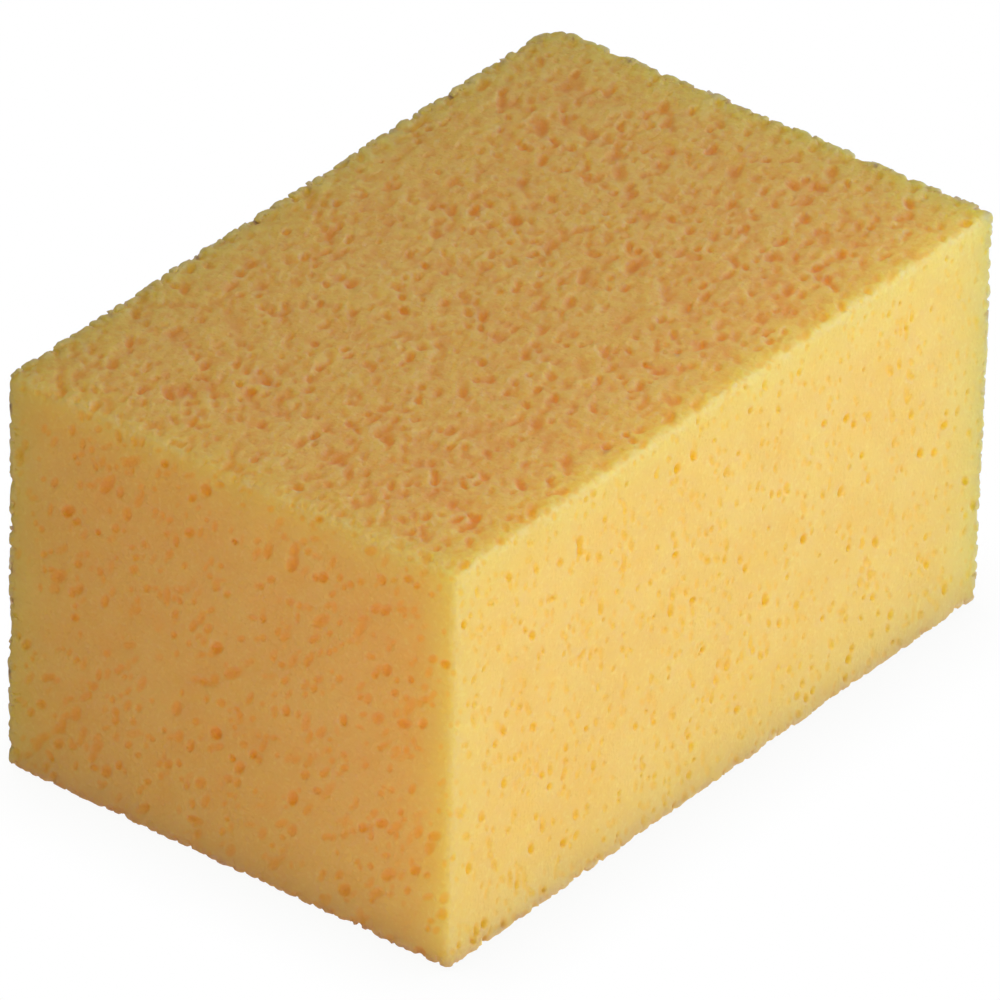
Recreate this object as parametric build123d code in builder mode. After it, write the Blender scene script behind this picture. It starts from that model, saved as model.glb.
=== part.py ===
from build123d import *
import os

# A foam sponge block, cut from one bun of open-cell foam. Sizes are in millimetres.
# The block rests on its base at z = 0, with the origin at the centre of the base,
# its length along X and its width along Y.
LENGTH = 160.0
WIDTH = 104.0
HEIGHT = 86.0

# The cut leaves the edges crisp, and handling softens them a little. The upright
# corner at +X +Y is rubbed rounder than the other three.
EDGE_RADIUS = 2.0
WORN_CORNER_RADIUS = 7.0

# The corners of the footprint, anticlockwise from -X -Y, each with its own rounding.
FOOTPRINT_CORNERS = [
    (-LENGTH / 2, -WIDTH / 2),
    (LENGTH / 2, -WIDTH / 2),
    (LENGTH / 2, WIDTH / 2),
    (-LENGTH / 2, WIDTH / 2),
]
CORNER_RADII = [EDGE_RADIUS, EDGE_RADIUS, WORN_CORNER_RADIUS, EDGE_RADIUS]

# Foam block: the whole object, solid foam from face to face.
with BuildPart() as foam_block:
    with BuildSketch(Plane.XY):
        with BuildLine():
            FilletPolyline(*FOOTPRINT_CORNERS, radius=CORNER_RADII, close=True)
        make_face()
    extrude(amount=HEIGHT)
    base_and_top = foam_block.faces().filter_by(Axis.Z)
    fillet(base_and_top.edges(), radius=EDGE_RADIUS)

foam_block.part.label = "foam_block"

os.makedirs("parts", exist_ok=True)
export_step(foam_block.part, "parts/foam_block.step")
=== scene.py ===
"""A foam sponge block: cut cells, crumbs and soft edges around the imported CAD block.

The foam is worked out as a field of distances on a grid, in millimetres, and then meshed:
the block's smooth outline first, then the crumbly skin, then the bubbles that the cut opened.
Distances are positive outside the foam, so adding to them wears the foam away.
"""

import math

import bpy
import numpy as np
import openvdb
from mathutils import Matrix, Vector


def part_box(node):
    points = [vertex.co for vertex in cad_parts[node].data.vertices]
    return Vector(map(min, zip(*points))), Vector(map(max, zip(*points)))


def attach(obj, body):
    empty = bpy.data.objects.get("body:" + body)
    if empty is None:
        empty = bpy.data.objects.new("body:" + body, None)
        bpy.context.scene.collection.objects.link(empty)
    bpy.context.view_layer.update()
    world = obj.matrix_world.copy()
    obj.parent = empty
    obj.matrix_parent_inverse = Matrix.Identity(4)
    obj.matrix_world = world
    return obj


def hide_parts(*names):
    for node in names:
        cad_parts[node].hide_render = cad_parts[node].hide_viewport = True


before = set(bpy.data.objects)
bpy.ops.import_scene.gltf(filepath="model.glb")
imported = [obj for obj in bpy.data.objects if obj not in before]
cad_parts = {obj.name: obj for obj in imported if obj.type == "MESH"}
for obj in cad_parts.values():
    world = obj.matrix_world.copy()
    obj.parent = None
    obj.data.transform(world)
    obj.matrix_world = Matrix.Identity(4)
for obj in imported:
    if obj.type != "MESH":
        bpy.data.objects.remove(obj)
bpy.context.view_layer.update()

# The block, in metres as the frame gives it, and in millimetres for the foam.
MM = 0.001
BLOCK_LOW, BLOCK_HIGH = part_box("foam_block")
BLOCK_MIDDLE = (BLOCK_LOW + BLOCK_HIGH) / 2
SIZE = np.array(BLOCK_HIGH - BLOCK_LOW) / MM
LOW = np.array(BLOCK_LOW) / MM
HIGH = np.array(BLOCK_HIGH) / MM

# The block's outline: softened edges, and one rounder upright corner at +X +Y.
EDGE_RADIUS = 2.0
WORN_CORNER_RADIUS = 7.0

# The grid that the foam is worked out on: its step, and how far it goes past the block. The
# skin may lie as far as SKIN_REACH from the outline. Distances further than BAND from the
# skin don't matter, and FAR stands for no bubble nearby. Noise repeats after NOISE_TILE steps.
VOXEL = 0.36
GRID_MARGIN = 1.8
SKIN_REACH = 1.7
BAND = 1.0
FAR = 9.0
NOISE_TILE = 160

# Bubbles stretch along the way the foam rose, which leans in the block. On the top and the
# base the saw smeared them along its own path instead.
RISE = np.array([-0.34, -0.51, 0.79])
NAP = np.array([0.90, 0.44, 0.0])

SEED = 11


# ---------------------------------------------------------------- the foam as a field

class Field:
    """A grid of points around the block, and the distances kept at each of them.

    outline is the distance to the block's smooth outline, foam to the foam's own skin, and
    bubble to the nearest bubble.
    """

    def __init__(self):
        self.low = LOW - GRID_MARGIN
        counts = np.ceil((SIZE + 2 * GRID_MARGIN) / VOXEL).astype(int) + 1
        self.axes = [
            (self.low[k] + VOXEL * np.arange(counts[k])).astype(np.float32) for k in range(3)
        ]
        self.shape = tuple(int(n) for n in counts)
        x, y, z = self.axes
        self.outline = block_distance(x[:, None, None], y[None, :, None], z[None, None, :])
        self.foam = self.outline.copy()
        self.bubble = np.full(self.shape, FAR, np.float32)

    def skin(self):
        """The grid points near the block's outline, which is where the foam has a shape."""
        return np.nonzero(np.abs(self.outline) < SKIN_REACH)

    def rest_on_floor(self):
        """Presses anything that would poke through the floor flat against it."""
        self.foam = np.maximum(self.foam, (LOW[2] - self.axes[2])[None, None, :])

    def sample(self, values, points):
        """Reads values at points by blending the eight grid points around each."""
        spot = (points - self.low) / VOXEL
        cell = np.clip(np.floor(spot).astype(int), 0, np.array(self.shape) - 2)
        part = (spot - cell).astype(np.float32)
        total = np.zeros(len(points), np.float32)
        for corner in np.ndindex(2, 2, 2):
            weight = np.prod(np.where(corner, part, 1 - part), axis=1)
            at = cell + corner
            total += weight * values[at[:, 0], at[:, 1], at[:, 2]]
        return total


def block_distance(x, y, z):
    """Distance outside the block's smooth outline, negative inside."""
    mid = (LOW + HIGH) / 2
    x, y, z = x - mid[0], y - mid[1], z - mid[2]
    corner = np.where((x > 0) & (y > 0), WORN_CORNER_RADIUS, EDGE_RADIUS).astype(np.float32)
    past_x = np.abs(x) - SIZE[0] / 2 + corner
    past_y = np.abs(y) - SIZE[1] / 2 + corner
    plan = np.hypot(np.maximum(past_x, 0), np.maximum(past_y, 0))
    plan = plan + np.minimum(np.maximum(past_x, past_y), 0) - corner + EDGE_RADIUS
    rise = np.abs(z) - SIZE[2] / 2 + EDGE_RADIUS
    outside = np.hypot(np.maximum(plan, 0), np.maximum(rise, 0))
    inside = np.minimum(np.maximum(plan, rise), 0)
    return (outside + inside - EDGE_RADIUS).astype(np.float32)


def noise_tile(rng, width, along=None, stretch=1.0):
    """A block of smooth random bumps that repeats, about width mm across, with a spread of 1.

    The bumps are stretched the given number of times along a direction.
    """
    waves = np.fft.fftfreq(NOISE_TILE, VOXEL)
    last = np.fft.rfftfreq(NOISE_TILE, VOXEL)
    kx, ky, kz = np.meshgrid(waves, waves, last, indexing="ij")
    squared = kx**2 + ky**2 + kz**2
    if along is not None:
        squared += (stretch**2 - 1) * (kx * along[0] + ky * along[1] + kz * along[2]) ** 2
    random = np.fft.rfftn(rng.standard_normal((NOISE_TILE,) * 3))
    reach = squared * width**2
    tile = np.fft.irfftn(random * reach * np.exp(-2 * reach), s=(NOISE_TILE,) * 3)
    return (tile / tile.std()).astype(np.float32)


def creases(noise, sharpness, usual):
    """Narrow creases where the noise crosses zero, with rounded lumps between them.

    usual is about the creases' mean, which is taken off so that they wear little away.
    """
    return np.exp(-sharpness * np.abs(noise)) - usual


def soft_max(a, b, blend):
    """The larger of a and b, with the crease between them rounded over a width of blend."""
    overlap = np.maximum(blend - np.abs(a - b), 0) / blend
    return np.maximum(a, b) + overlap**2 * blend / 4


# ---------------------------------------------------------------- the six sides

class Side:
    """One of the block's six faces, and how the cut left it.

    crumb is the height of its crumbs. per_mm2, width, widest, stretch and grain say how many
    bubbles show, their usual and largest half width, how long they are and along what. deepest
    is how far the deepest reaches under the face, and blend how much their rims are rounded.
    """

    def __init__(self, axis, sign, crumb, per_mm2, width, widest, stretch, grain, deepest,
                 blend):
        self.axis = axis
        self.sign = sign
        self.crumb = crumb
        self.per_mm2 = per_mm2
        self.width = width
        self.widest = widest
        self.stretch = stretch
        self.grain = grain
        self.deepest = deepest
        self.blend = blend
        self.across = [k for k in range(3) if k != axis]

    def area(self):
        return SIZE[self.across[0]] * SIZE[self.across[1]]

    def level(self):
        return HIGH[self.axis] if self.sign > 0 else LOW[self.axis]

    def depth(self, along):
        """How far below this face a place lies, from its coordinate along the face's axis."""
        return self.sign * (self.level() - along)


SAWN = dict(
    crumb=0.145, per_mm2=0.14, width=0.56, widest=1.5, stretch=(1.4, 2.8), grain=NAP,
    deepest=1.04, blend=0.62,
)
END = dict(
    crumb=0.035, per_mm2=0.080, width=0.54, widest=1.3, stretch=(2.0, 3.6), grain=RISE,
    deepest=0.42, blend=0.60,
)
LONG = dict(
    crumb=0.035, per_mm2=0.095, width=0.45, widest=0.9, stretch=(2.6, 4.4), grain=RISE,
    deepest=0.26, blend=0.60,
)
TOP = Side(2, +1, **SAWN)
BASE = Side(2, -1, **SAWN)
NEAR_END = Side(0, -1, **END)
FAR_END = Side(0, +1, **END)
FRONT = Side(1, -1, **LONG)
BACK = Side(1, +1, **LONG)
SIDES = [TOP, BASE, NEAR_END, FAR_END, FRONT, BACK]
SHARE_SOFTNESS = 1.2


def side_shares(place):
    """How much each side owns a place: near 1 beside that side, and shared along the edges."""
    depths = [np.maximum(side.depth(place[side.axis]), 0) for side in SIDES]
    raw = [np.exp(-depth / SHARE_SOFTNESS) for depth in depths]
    total = sum(raw)
    return {side: r / total for side, r in zip(SIDES, raw)}


# ---------------------------------------------------------------- the crumbly skin

# The skin's noise: about how wide its bumps are, and how many times they stretch along what.
FINE_NAP = dict(width=0.9, along=NAP, stretch=1.5)
COARSE_NAP = dict(width=1.7, along=NAP, stretch=2.1)
FINE_RISE = dict(width=0.8, along=RISE, stretch=1.6)
SCALLOP = dict(width=3.6)
WAVES = dict(width=9.0)

# Creases in the skin, as their sharpness and usual value: fine ones between the saw's grains,
# and the notches along the edges. A sawn side's lumps are grains and coarse nap together.
GRAIN_CREASES = dict(sharpness=2, usual=0.34)
NOTCH_CREASES = dict(sharpness=4, usual=0.23)
GRAIN_HEIGHT = 3.0
LUMP_HEIGHT = 0.55

# How deep the notches along the edges are, and how much cleaner the near end's and the front's
# edges are than the rest: by each side's own share, and more where two of these sides meet.
EDGE_LUMP = 2.2
BASE_EDGE_LUMP = 1.5
CLEANER_SIDES = 0.5
CLEANER_FRONT_EDGES = 2.0
CLEANER_TOP_END_EDGE = 1.6

# How high the faces' slow waves are, and how far the whole skin is worn back.
WAVE_HEIGHT = 0.08
WORN_BACK = 0.20


def notch_depths(shares):
    """How deep the edges are notched: not at all on a face, and less along the clean cuts.

    Two sides own half each of the edge between them, so twice their share is 1 there.
    """
    near_end, front, top = shares[NEAR_END], shares[FRONT], shares[TOP]
    edge = 2 * (1 - np.maximum.reduce(list(shares.values())))
    ragged = 1 - CLEANER_SIDES * (near_end + front)
    ragged -= CLEANER_FRONT_EDGES * front * (top + near_end)
    ragged -= CLEANER_TOP_END_EDGE * top * near_end
    lump = EDGE_LUMP + 2 * shares[BASE] * (BASE_EDGE_LUMP - EDGE_LUMP)
    return edge * ragged * lump


def add_crumbs(field, rng):
    """Roughens the skin: crumbs on every side, coarser lumps, and scalloped edges."""
    fine_nap = noise_tile(rng, **FINE_NAP)
    coarse_nap = noise_tile(rng, **COARSE_NAP)
    fine_rise = noise_tile(rng, **FINE_RISE)
    scallop = noise_tile(rng, **SCALLOP)
    waves = noise_tile(rng, **WAVES)
    skin = field.skin()
    tile_at = tuple(k % NOISE_TILE for k in skin)
    shares = side_shares([field.axes[k][skin[k]] for k in range(3)])
    sawn = shares[TOP] + shares[BASE]
    crumb = sum(share * side.crumb for side, share in shares.items())
    grains = GRAIN_HEIGHT * creases(fine_nap[tile_at], **GRAIN_CREASES)
    lumps = sawn * LUMP_HEIGHT * (grains + coarse_nap[tile_at])
    lumps += (1 - sawn) * fine_rise[tile_at]
    notches = creases(scallop[tile_at], **NOTCH_CREASES)
    field.foam[skin] += crumb * lumps + notch_depths(shares) * notches
    field.foam[skin] += WAVE_HEIGHT * waves[tile_at] + WORN_BACK


# ---------------------------------------------------------------- the bubbles

# How much bubbles vary in width, the smallest half width, and how much wider they are at the
# base than halfway up. A bubble's depth is at most DEEPEST_BY_WIDTH times its half width.
BUBBLE_SPREAD = 0.42
NARROWEST = 0.34
WIDER_LOW = 0.15
DEEPEST_BY_WIDTH = 1.5

# Middles stay at least CLOSEST times the two half widths apart. At most TRIES places are drawn
# for each bubble wanted. LEAN_SPREAD is how far bubbles turn from their side's grain.
CLOSEST = 0.95
TRIES = 6
LEAN_SPREAD = 0.22


def draw_bubbles(side, rng):
    """Middles and half widths of the bubbles that this side cut open or nearly reached."""
    wanted = int(side.per_mm2 * side.area())
    middles = np.zeros((wanted, 3))
    widths = np.zeros(wanted)
    count = 0
    for _ in range(wanted * TRIES):
        if count == wanted:
            break
        width = side.width * math.exp(BUBBLE_SPREAD * rng.standard_normal())
        point = rng.uniform(LOW, HIGH)
        if side.axis != 2:
            width *= 1 + WIDER_LOW * (1 - 2 * (point[2] - LOW[2]) / SIZE[2])
        width = min(max(width, NARROWEST), side.widest)
        depth = min(rng.uniform(0.0, side.deepest), DEEPEST_BY_WIDTH * width)
        point[side.axis] = side.level() + side.sign * (width - depth)
        apart = np.linalg.norm(middles[:count] - point, axis=1)
        gaps = apart - CLOSEST * (widths[:count] + width)
        if count and gaps.min() < 0:
            continue
        middles[count] = point
        widths[count] = width
        count += 1
    return middles[:count], widths[:count]


def carve(field, middle, width, lean, stretch, blend):
    """Takes one bubble, stretched along its lean, out of the foam."""
    reach = width * stretch + BAND
    low = np.maximum(np.floor((middle - reach - field.low) / VOXEL).astype(int), 0)
    high = np.minimum(np.ceil((middle + reach - field.low) / VOXEL).astype(int) + 1, field.shape)
    spot = tuple(slice(a, b) for a, b in zip(low, high))
    x = field.axes[0][spot[0]][:, None, None] - np.float32(middle[0])
    y = field.axes[1][spot[1]][None, :, None] - np.float32(middle[1])
    z = field.axes[2][spot[2]][None, None, :] - np.float32(middle[2])
    along2 = (x * lean[0] + y * lean[1] + z * lean[2]) ** 2
    around2 = np.maximum(x * x + y * y + z * z - along2, 0)
    near = np.sqrt(around2 / width**2 + along2 / (width * stretch) ** 2)
    slope = np.sqrt(around2 / width**4 + along2 / (width * stretch) ** 4) + 1e-6
    distance = (near * (near - 1) / slope).astype(np.float32)
    field.bubble[spot] = np.minimum(field.bubble[spot], distance)
    field.foam[spot] = soft_max(field.foam[spot], -distance, blend)


def open_bubbles(field, rng):
    """Places every side's bubbles and carves them."""
    for side in SIDES:
        middles, widths = draw_bubbles(side, rng)
        leans = side.grain + LEAN_SPREAD * rng.standard_normal((len(middles), 3))
        leans /= np.linalg.norm(leans, axis=1)[:, None]
        stretches = rng.uniform(*side.stretch, len(middles))
        for middle, width, lean, stretch in zip(middles, widths, leans, stretches):
            carve(field, middle, width, lean, stretch, side.blend)


# ---------------------------------------------------------------- the mesh

def mesh_from(field):
    """Points in millimetres and quads of the foam's skin."""
    grid = openvdb.FloatGrid(BAND)
    grid.copyFromArray(np.clip(field.foam, -BAND, BAND))
    points, quads = grid.convertToQuads(isovalue=0.0)
    return points.astype(np.float64) * VOXEL + field.low, quads


def largest_shell(points, quads):
    """Drops closed bubbles inside the foam and loose crumbs, keeping the skin itself.

    Each point takes the lowest number among the points it is joined to, until none changes.
    """
    label = np.arange(len(points))
    while True:
        lowest = label[quads].min(axis=1)
        new = label.copy()
        for k in range(4):
            np.minimum.at(new, quads[:, k], lowest)
        new = new[new]
        if (new == label).all():
            break
        label = new
    names, counts = np.unique(label, return_counts=True)
    keep = label == names[counts.argmax()]
    number = np.cumsum(keep) - 1
    kept_quads = quads[keep[quads[:, 0]]]
    return points[keep], number[kept_quads]


def make_object(name, points, quads):
    mesh = bpy.data.meshes.new(name)
    mesh.vertices.add(len(points))
    mesh.vertices.foreach_set("co", (points * MM).astype(np.float32).ravel())
    mesh.loops.add(quads.size)
    mesh.loops.foreach_set("vertex_index", quads.astype(np.int32).ravel())
    mesh.polygons.add(len(quads))
    mesh.polygons.foreach_set("loop_start", np.arange(0, quads.size, 4, dtype=np.int32))
    mesh.update(calc_edges=True)
    mesh.polygons.foreach_set("use_smooth", np.ones(len(quads), bool))
    mesh.update()
    obj = bpy.data.objects.new(name, mesh)
    bpy.context.scene.collection.objects.link(obj)
    return obj


def face_depths(points):
    """How far points lie below each of the six faces, one row to a face."""
    return np.stack([side.depth(points[:, side.axis]) for side in SIDES])


def from_edge(points):
    """How far points on the skin lie from the nearest edge of the block.

    A point's own face is the nearest, so the next nearest face gives the edge.
    """
    return np.sort(face_depths(points), axis=0)[1]


def store(obj, name, values):
    attribute = obj.data.attributes.new(name, "FLOAT", "POINT")
    attribute.data.foreach_set("value", values.astype(np.float32))


def store_for_material(obj, field, points):
    """Keeps on every point what the material needs to know about it."""
    shares = side_shares(points.T)
    store(obj, "bubble", field.sample(field.bubble, points))
    store(obj, "below", -block_distance(*points.astype(np.float32).T))
    store(obj, "from_edge", from_edge(points))
    store(obj, "sawn", shares[TOP] + shares[BASE])
    store(obj, "long_side", shares[FRONT] + shares[BACK])


# The flat map's sheet is this many millimetres square, with a gap around every side.
SHEET = 340.0
SHEET_GAP = 6.0
SHEET_ROWS = [[TOP, BASE], [FRONT, BACK], [NEAR_END, FAR_END]]


def add_flat_map(obj, points, quads):
    """Lays the six sides out flat, each by its own plane, so that colour can be baked."""
    corners = points[quads]
    nearest = face_depths(corners.mean(axis=1)).argmin(axis=0)
    flat = np.zeros((len(quads), 4, 2), np.float32)
    down = SHEET_GAP
    for row in SHEET_ROWS:
        right = SHEET_GAP
        for side in row:
            mine = nearest == SIDES.index(side)
            a, b = side.across
            flat[mine, :, 0] = (corners[mine][:, :, a] - LOW[a] + right) / SHEET
            flat[mine, :, 1] = (corners[mine][:, :, b] - LOW[b] + down) / SHEET
            right += SIZE[a] + SHEET_GAP
        down += SIZE[row[0].across[1]] + SHEET_GAP
    layer = obj.data.uv_layers.new(name="OFBake")
    layer.data.foreach_set("uv", flat.ravel())


def build_foam():
    rng = np.random.default_rng(SEED)
    field = Field()
    add_crumbs(field, rng)
    open_bubbles(field, rng)
    field.rest_on_floor()
    points, quads = largest_shell(*mesh_from(field))
    obj = make_object("foam_sponge", points, quads)
    store_for_material(obj, field, points)
    add_flat_map(obj, points, quads)
    return obj


# ---------------------------------------------------------------- materials

class Nodes:
    """Adds and links shader nodes with little fuss."""

    def __init__(self, tree):
        self.tree = tree
        tree.nodes.clear()

    def put(self, socket, value):
        """Links a socket to another one, or sets it to a plain value."""
        if isinstance(value, bpy.types.NodeSocket):
            self.tree.links.new(value, socket)
        else:
            socket.default_value = value

    def add(self, kind, inputs=None, **settings):
        node = self.tree.nodes.new("ShaderNode" + kind)
        for name, value in settings.items():
            setattr(node, name, value)
        for name, value in (inputs or {}).items():
            self.put(node.inputs[name], value)
        return node

    def multiply(self, a, b):
        return self.add("Math", {0: a, 1: b}, operation="MULTIPLY").outputs[0]

    def plus(self, a, b):
        return self.add("Math", {0: a, 1: b}, operation="ADD").outputs[0]

    def ramp(self, value, start, end, at_start=0.0, at_end=1.0, kind="LINEAR"):
        """Goes from at_start to at_end while the value goes from start to end."""
        inputs = {0: value, 1: start, 2: end, 3: at_start, 4: at_end}
        return self.add("MapRange", inputs, interpolation_type=kind).outputs[0]

    def ease(self, value, start, end, at_start=0.0, at_end=1.0):
        """A ramp that starts and ends gently."""
        return self.ramp(value, start, end, at_start, at_end, kind="SMOOTHSTEP")

    def between(self, share, pair):
        """Goes evenly from the pair's first number to its second while the share goes to 1."""
        return self.ramp(share, 0.0, 1.0, *pair)

    def mix(self, factor, a, b):
        node = self.add("Mix", data_type="RGBA", blend_type="MIX")
        for socket, value in zip((node.inputs[0], node.inputs[6], node.inputs[7]), (factor, a, b)):
            self.put(socket, value)
        return node.outputs[2]

    def noise(self, place, scale, detail):
        inputs = {"Vector": place, "Scale": scale, "Detail": detail}
        return self.add("TexNoise", inputs).outputs["Fac"]

    def attribute(self, name):
        return self.add("Attribute", attribute_name=name).outputs["Fac"]


# The face of the foam, pale specks that are also a painted highlight on proud crumbs, a painted
# highlight along its edges, and a deeper orange for random mottles and for painted shade in the
# bubbles, on the sawn sides, the ends and the long sides.
SKIN = (0.90, 0.64, 0.21, 1)
SKIN_DEEP = (0.89, 0.61, 0.19, 1)
SPECK_AND_HIGHLIGHT = (0.93, 0.74, 0.27, 1)
EDGE_HIGHLIGHT = (0.89, 0.73, 0.38, 1)
SAWN_MOTTLE_AND_SHADE = (0.87, 0.42, 0.14, 1)
END_MOTTLE_AND_SHADE = (0.99, 0.475, 0.10, 1)
LONG_MOTTLE_AND_SHADE = (0.95, 0.565, 0.115, 1)

# How strongly the deeper colour mottles the face at random, and how strongly it is painted as
# shade on a bubble and in its depth: first on the upright sides, then on the sawn ones.
MOTTLE = (0.08, 0.35)
PIT_SHADE = (0.55, 0.25)
DEPTH_SHADE = (0.55, 0.88)

# The painted highlight along the edges, a pale band: where it starts and ends, how strong and how
# ragged it is.
BAND_START = 1.5
BAND_END = 4.0
BAND_STRENGTH = 0.34
BAND_RAGGED = 3.0

# How strongly the pale colour shows in random specks, and as a painted highlight on what stands
# proud of a sawn side.
SPECK_STRENGTH = 0.35
PROUD_STRENGTH = 0.3


def face_colour(n, place):
    """The foam's face: soft patches, a painted highlight in a band along the edges, pale specks,
    and a painted highlight on crumbs that stand proud.
    """
    patch = n.noise(place, scale=70.0, detail=2.0)
    blotch = n.noise(place, scale=300.0, detail=2.0)
    speck = n.noise(place, scale=900.0, detail=3.0)
    ragged_edge = n.plus(n.attribute("from_edge"), n.multiply(blotch, BAND_RAGGED))
    # Painted highlight: a pale band along the edges, made ragged by the blotches.
    band = n.ease(ragged_edge, BAND_START, BAND_END, BAND_STRENGTH, 0.0)
    specks = n.ease(speck, 0.52, 0.72, 0.0, SPECK_STRENGTH)
    # Painted highlight: the pale colour on crumbs that stand proud of a sawn side.
    proud = n.ease(n.attribute("below"), -0.25, 0.10, PROUD_STRENGTH, 0.0)
    colour = n.mix(n.ease(patch, 0.35, 0.65), SKIN, SKIN_DEEP)
    colour = n.mix(band, colour, EDGE_HIGHLIGHT)
    colour = n.mix(specks, colour, SPECK_AND_HIGHLIGHT)
    return n.mix(n.multiply(n.attribute("sawn"), proud), colour, SPECK_AND_HIGHLIGHT)


def foam_colour(n, place):
    """The face's colour, with a deeper one in random mottles and as painted shade on the bubbles
    and in their depth.
    """
    sawn = n.attribute("sawn")
    upright_mottle_and_shade = n.mix(n.attribute("long_side"), END_MOTTLE_AND_SHADE, LONG_MOTTLE_AND_SHADE)
    mottle_and_shade = n.mix(sawn, upright_mottle_and_shade, SAWN_MOTTLE_AND_SHADE)
    grain = n.noise(place, scale=520.0, detail=3.0)
    mottles = n.ease(grain, 0.44, 0.66)
    # Painted shade: the deeper orange on the bubbles' walls and further below the outline.
    on_bubble = n.ease(n.attribute("bubble"), 0.0, 0.45, 1.0, 0.0)
    in_depth = n.ease(n.attribute("below"), 0.10, 0.95)
    colour = face_colour(n, place)
    colour = n.mix(n.multiply(n.between(sawn, MOTTLE), mottles), colour, mottle_and_shade)
    colour = n.mix(n.multiply(n.between(sawn, PIT_SHADE), on_bubble), colour, mottle_and_shade)
    return n.mix(n.multiply(n.between(sawn, DEPTH_SHADE), in_depth), colour, mottle_and_shade)


def cell_bump(n, place):
    """The finest open cells, too small to carve."""
    cells = n.add("TexVoronoi", {"Vector": place, "Scale": 1500.0}, feature="F1")
    height = cells.outputs["Distance"]
    bump = n.add("Bump", {"Strength": 0.35, "Distance": 0.3 * MM, "Height": height})
    return bump.outputs["Normal"]


def foam_material():
    """Yellow foam that lets light through, with painted shade deeper orange in its bubbles and a
    painted highlight paler at its edges.
    """
    material = bpy.data.materials.new("yellow_foam")
    material.use_nodes = True
    n = Nodes(material.node_tree)
    place = n.add("TexCoord").outputs["Object"]
    shader = n.add(
        "BsdfPrincipled",
        {
            "Base Color": foam_colour(n, place),
            "Roughness": 0.85,
            "Specular IOR Level": 0.03,
            "Subsurface Weight": 0.90,
            "Subsurface Radius": (1.0, 0.9, 0.18),
            "Subsurface Scale": 32 * MM,
            "Normal": cell_bump(n, place),
        },
        subsurface_method="RANDOM_WALK",
    )
    n.add("OutputMaterial", {"Surface": shader.outputs[0]})
    return material


# ---------------------------------------------------------------- floor, light and camera

# The floor goes this far each way, and lies a hair under the block so that they don't clash.
FLOOR_HALF = 12.0
FLOOR_DROP = 0.1 * MM

# What the camera sees of the floor: a trace of shade where less than all of the sky is open.
WHITE = (1, 1, 1, 1)
SHADE = (0.95, 0.95, 0.94, 1)
SHADE_REACH = 20 * MM
SHADED_MOST = 0.4

# What lights the foam from below: pale warm paper, with a little glow of its own.
PAPER = (0.72, 0.60, 0.42, 1)
WARM_GLOW = (1.0, 0.45, 0.27, 1)
GLOW_STRENGTH = 0.11
SKY_STRENGTH = 0.05


def floor_material():
    """Two floors in one: a white one for the camera, and a warm one that lights the foam."""
    material = bpy.data.materials.new("pale_floor")
    material.use_nodes = True
    n = Nodes(material.node_tree)
    sky = n.add("AmbientOcclusion", {"Distance": SHADE_REACH}, samples=8).outputs["AO"]
    seen = n.add("Emission", {"Color": n.mix(n.ramp(sky, SHADED_MOST, 1.0), SHADE, WHITE)})
    paper = n.add("BsdfDiffuse", {"Color": PAPER})
    glow = n.add("Emission", {"Color": WARM_GLOW, "Strength": GLOW_STRENGTH})
    lit = n.add("AddShader", {0: paper.outputs[0], 1: glow.outputs[0]})
    camera_ray = n.add("LightPath").outputs["Is Camera Ray"]
    mix = n.add("MixShader", {0: camera_ray, 1: lit.outputs[0], 2: seen.outputs[0]})
    n.add("OutputMaterial", {"Surface": mix.outputs[0]})
    return material


def add_floor():
    mesh = bpy.data.meshes.new("floor")
    signs = [(-1, -1), (1, -1), (1, 1), (-1, 1)]
    corners = [(x * FLOOR_HALF, y * FLOOR_HALF, -FLOOR_DROP) for x, y in signs]
    mesh.from_pydata(corners, [], [(0, 1, 2, 3)])
    floor = bpy.data.objects.new("floor", mesh)
    bpy.context.scene.collection.objects.link(floor)
    mesh.materials.append(floor_material())


def add_world():
    """White behind the foam, and only a little light from all around."""
    world = bpy.data.worlds.new("studio")
    bpy.context.scene.world = world
    world.use_nodes = True
    n = Nodes(world.node_tree)
    seen = n.add("Background", {"Color": WHITE, "Strength": 1.0})
    lighting = n.add("Background", {"Color": WHITE, "Strength": SKY_STRENGTH})
    camera_ray = n.add("LightPath").outputs["Is Camera Ray"]
    mix = n.add("MixShader", {0: camera_ray, 1: lighting.outputs[0], 2: seen.outputs[0]})
    n.add("OutputWorld", {"Surface": mix.outputs[0]})


# Soft boxes around the block: which way they lie from it, how far, how wide, and their light.
LAMPS = {
    "key": dict(
        direction=(0.45, -1.0, 0.35), distance=0.6, size=0.25,
        power=1.94, colour=(0.70, 0.885, 1.0),
    ),
    "left_fill": dict(
        direction=(-1.0, -0.7, 0.1), distance=0.6, size=0.3,
        power=1.56, colour=(1.0, 0.85, 0.785),
    ),
    "top_fill": dict(
        direction=(0.0, -0.3, 1.0), distance=0.5, size=0.3,
        power=1.05, colour=(1.0, 0.80, 0.54),
    ),
    "back_fill": dict(
        direction=(0.5, 1.0, 0.05), distance=1.6, size=0.6,
        power=8.0, colour=(0.82, 0.82, 1.0),
    ),
}


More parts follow.
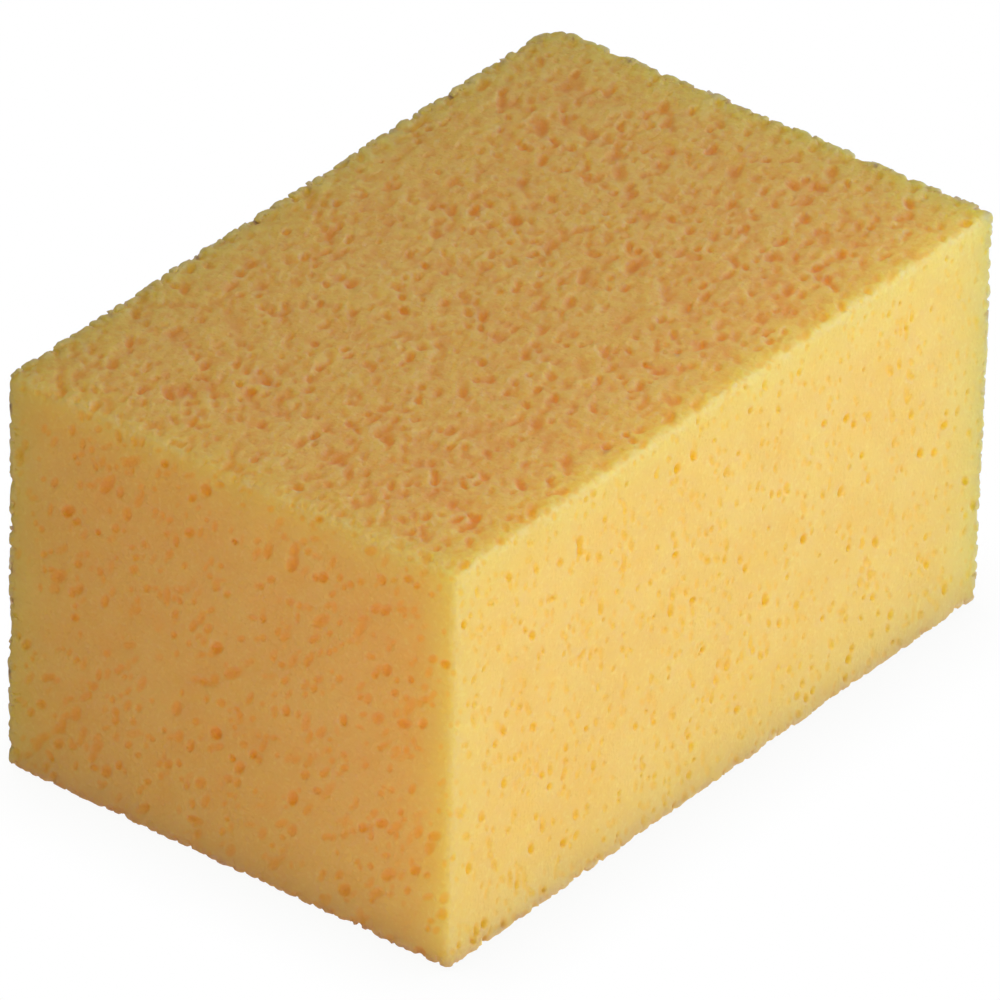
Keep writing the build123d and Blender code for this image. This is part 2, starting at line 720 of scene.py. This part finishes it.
def add_lamp(name, direction, distance, size, power, colour):
    """A square soft box that faces the middle of the block."""
    data = bpy.data.lights.new(name, "AREA")
    data.shape = "SQUARE"
    data.size = size
    data.energy = power
    data.color = colour
    lamp = bpy.data.objects.new(name, data)
    towards = Vector(direction).normalized()
    lamp.location = BLOCK_MIDDLE + towards * distance
    lamp.rotation_mode = "QUATERNION"
    lamp.rotation_quaternion = towards.to_track_quat("Z", "Y")
    bpy.context.scene.collection.objects.link(lamp)


# The camera: which way it lies from the block and how it is tilted, in degrees, the place it
# looks at, from the block's middle, and how far off it stands.
AZIMUTH = -52.58
ELEVATION = 33.04
ROLL = 1.457
AIM_OFF_MIDDLE = Vector((2.09, 1.90, -4.52)) * MM
CAMERA_DISTANCE = 2.7787
LENS = 543.6


def add_camera():
    """Looks at the upright edge between the end and the long side, from above."""
    azimuth = math.radians(AZIMUTH)
    elevation = math.radians(ELEVATION)
    roll = math.radians(ROLL)
    back = Vector((
        math.sin(azimuth) * math.cos(elevation),
        -math.cos(azimuth) * math.cos(elevation),
        math.sin(elevation),
    ))
    right = (-back).cross(Vector((0, 0, 1))).normalized()
    up = right.cross(-back)
    turned_right = math.cos(roll) * right + math.sin(roll) * up
    turned_up = -math.sin(roll) * right + math.cos(roll) * up
    turn = Matrix((turned_right, turned_up, back)).transposed().to_4x4()
    place = BLOCK_MIDDLE + AIM_OFF_MIDDLE + back * CAMERA_DISTANCE
    data = bpy.data.cameras.new("camera")
    data.sensor_width = 36.0
    data.lens = LENS
    data.clip_start = 0.1
    data.clip_end = 60.0
    camera = bpy.data.objects.new("camera", data)
    camera.matrix_world = Matrix.Translation(place) @ turn
    bpy.context.scene.collection.objects.link(camera)
    bpy.context.scene.camera = camera


foam = build_foam()
foam.data.materials.append(foam_material())
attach(foam, "root")
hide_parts("foam_block")

add_floor()
add_world()
for lamp_name, lamp in LAMPS.items():
    add_lamp(lamp_name, **lamp)
add_camera()
bpy.context.scene.view_settings.view_transform = "Standard"
